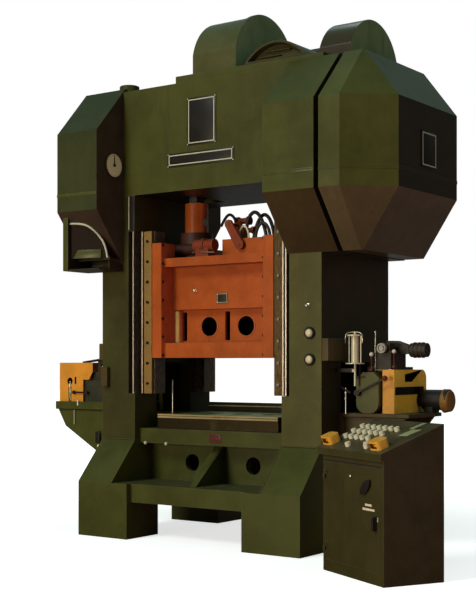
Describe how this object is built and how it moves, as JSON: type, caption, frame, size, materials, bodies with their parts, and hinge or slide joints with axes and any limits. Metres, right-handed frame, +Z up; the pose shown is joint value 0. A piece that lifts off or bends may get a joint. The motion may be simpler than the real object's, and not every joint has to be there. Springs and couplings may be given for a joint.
{
  "type": "straight-side mechanical stamping press",
  "caption": "Straight-side stamping press with a crank-driven slide over a slotted bolster, covered flywheel drive, roll feed, scrap cutter and control desk.",
  "frame": {"origin": "on the floor, in the middle of the four anchor bolt holes", "axes": "+X to the press's right as seen from its front, +Y to its back, +Z up"},
  "size_m": [4.2305, 2.4, 4.293],
  "materials": {
    "frame_paint": "semi-gloss enamel",
    "cover_paint": "semi-gloss enamel",
    "slide_paint": "semi-gloss enamel",
    "ground_steel": "ground",
    "bright_steel": "machined",
    "keeper_steel": "machined",
    "black_bolts": "black oxide",
    "forged_steel": "turned",
    "bearing_bronze": "turned",
    "cast_grey": "cast",
    "belt_rubber": "matt",
    "black_paint": "satin",
    "motor_paint": "enamel",
    "amber_paint": "enamel",
    "feed_paint": "enamel",
    "dial_white": "enamel",
    "lamp_plastic": "moulded",
    "button_plastic": "moulded",
    "box_paint": "enamel",
    "oiler_metal": "cast and machined"
  },
  "bodies": {
    "frame": {"bed": "frame_paint", "left_upright": "frame_paint", "right_upright": "frame_paint", "crown": "frame_paint", "tie_rods": "forged_steel", "tie_rod_nuts": "frame_paint", "bolster": "ground_steel", "gibs": "bright_steel", "gib_keepers": "keeper_steel", "gib_bolts": "black_bolts", "main_bearings": "bearing_bronze", "drive_motor": "cast_grey", "drive_belts": "belt_rubber", "left_cover": "cover_paint", "right_inner_cover": "cover_paint", "right_outer_cover": "cover_paint", "brake_guard": "cover_paint", "motor_hood": "cover_paint", "belt_hood": "cover_paint", "arched_cowl": "cover_paint", "crank_dial": "dial_white", "feed_table": "frame_paint", "feed_gear_case": "feed_paint", "feed_head": "black_paint", "feed_guard": "amber_paint", "feed_motor": "cast_grey", "oiler": "oiler_metal", "junction_boxes": "box_paint", "upright_lamps": "lamp_plastic", "left_shelf": "frame_paint", "left_guard": "amber_paint", "scrap_cutter": "black_paint", "desk_cabinet": "frame_paint", "desk_buttons": "button_plastic", "palm_guards": "amber_paint"},
    "slide": {"slide": "slide_paint", "slide_bolts": "black_bolts", "plungers": "slide_paint", "adjusting_housings": "slide_paint", "pitmans": "forged_steel", "wrist_pins": "forged_steel", "adjusting_motor": "motor_paint", "link_arms": "motor_paint"},
    "crank": {"crankshaft": "forged_steel", "clutch_and_brake": "cast_grey"},
    "flywheel": {"belt_wheel": "cast_grey", "flywheel": "cast_grey"},
    "motor_shaft": {"motor_pulley": "cast_grey"},
    "dial_hand": {"dial_pointer": "black_paint"},
    "lower_roll": {"lower_feed_roll": "bright_steel"},
    "upper_roll": {"upper_feed_roll": "bright_steel"},
    "front_lever": {"front_release_lever": "bright_steel"},
    "rear_lever": {"rear_release_lever": "bright_steel"},
    "feed_hand_lever": {"feed_lever": "bright_steel"},
    "feed_wheel": {"feed_handwheel": "black_paint"},
    "cutter_hand_lever": {"cutter_lever": "black_paint"},
    "door": {"desk_door": "frame_paint"},
    "door_latch": {"door_handle": "black_paint"},
    "left_palm": {"left_palm_button": "lamp_plastic"},
    "right_palm": {"right_palm_button": "lamp_plastic"}
  },
  "joints": [
    {"name": "crank_turn", "type": "hinge", "parent": "frame", "child": "crank", "pos_m": [0, 0, 3.025], "axis": [1, 0, 0], "range_deg": [0, 180]},
    {"name": "slide_travel", "type": "slide", "parent": "frame", "child": "slide", "axis": [0, 0, -1], "range_m": [0, 0.0763]},
    {"name": "dial_turn", "type": "hinge", "parent": "frame", "child": "dial_hand", "pos_m": [-0.861, -0.659, 3.083], "axis": [1, 0, 0], "range_deg": [0, 180]},
    {"name": "flywheel_spin", "type": "hinge", "parent": "frame", "child": "flywheel", "pos_m": [0, 0, 3.025], "axis": [1, 0, 0], "continuous": true},
    {"name": "motor_spin", "type": "hinge", "parent": "frame", "child": "motor_shaft", "pos_m": [0, 0.06, 3.95], "axis": [1, 0, 0], "continuous": true},
    {"name": "lower_roll_spin", "type": "hinge", "parent": "frame", "child": "lower_roll", "pos_m": [1.39, 0, 1.1047], "axis": [0, 1, 0], "continuous": true},
    {"name": "upper_roll_spin", "type": "hinge", "parent": "frame", "child": "upper_roll", "pos_m": [1.39, 0, 1.1953], "axis": [0, 1, 0], "continuous": true},
    {"name": "front_release", "type": "hinge", "parent": "frame", "child": "front_lever", "pos_m": [1.362, -0.235, 1.38], "axis": [1, 0, 0], "range_deg": [0, 40]},
    {"name": "rear_release", "type": "hinge", "parent": "frame", "child": "rear_lever", "pos_m": [1.51405, -0.16, 1.402], "axis": [1, 0, 0], "range_deg": [0, 40]},
    {"name": "feed_lever_turn", "type": "hinge", "parent": "frame", "child": "feed_hand_lever", "pos_m": [1.272, -0.275, 1.206], "axis": [0, 1, 0], "range_deg": [-25, 25]},
    {"name": "handwheel_turn", "type": "hinge", "parent": "frame", "child": "feed_wheel", "pos_m": [1.442, -0.185, 1.545], "axis": [0, 1, 0], "continuous": true},
    {"name": "cutter_lever_turn", "type": "hinge", "parent": "frame", "child": "cutter_hand_lever", "pos_m": [-1.479, -0.295, 1.172], "axis": [0, 1, 0], "range_deg": [-25, 25]},
    {"name": "door_swing", "type": "hinge", "parent": "frame", "child": "door", "pos_m": [1.51131, -1.16253, 0.4], "axis": [0, 0, -1], "range_deg": [0, 110]},
    {"name": "latch_turn", "type": "hinge", "parent": "door", "child": "door_latch", "pos_m": [2.08419, -1.48008, 0.428], "axis": [0.4848, 0.8746, 0], "range_deg": [0, 90]},
    {"name": "left_palm_press", "type": "slide", "parent": "frame", "child": "left_palm", "axis": [0.1713, 0.3091, -0.9355], "range_m": [0, 0.006], "stiffness_N_per_m": 1500, "springref_m": -0.002},
    {"name": "right_palm_press", "type": "slide", "parent": "frame", "child": "right_palm", "axis": [0.1713, 0.3091, -0.9355], "range_m": [0, 0.006], "stiffness_N_per_m": 1500, "springref_m": -0.002}
  ],
  "couplings": [
    {"joint": "slide_travel", "follows": "crank_turn", "m_per_rad": 0.024255},
    {"joint": "dial_turn", "follows": "crank_turn", "ratio": 1},
    {"joint": "motor_spin", "follows": "flywheel_spin", "ratio": 5.0067},
    {"joint": "upper_roll_spin", "follows": "lower_roll_spin", "ratio": -1}
  ]
}
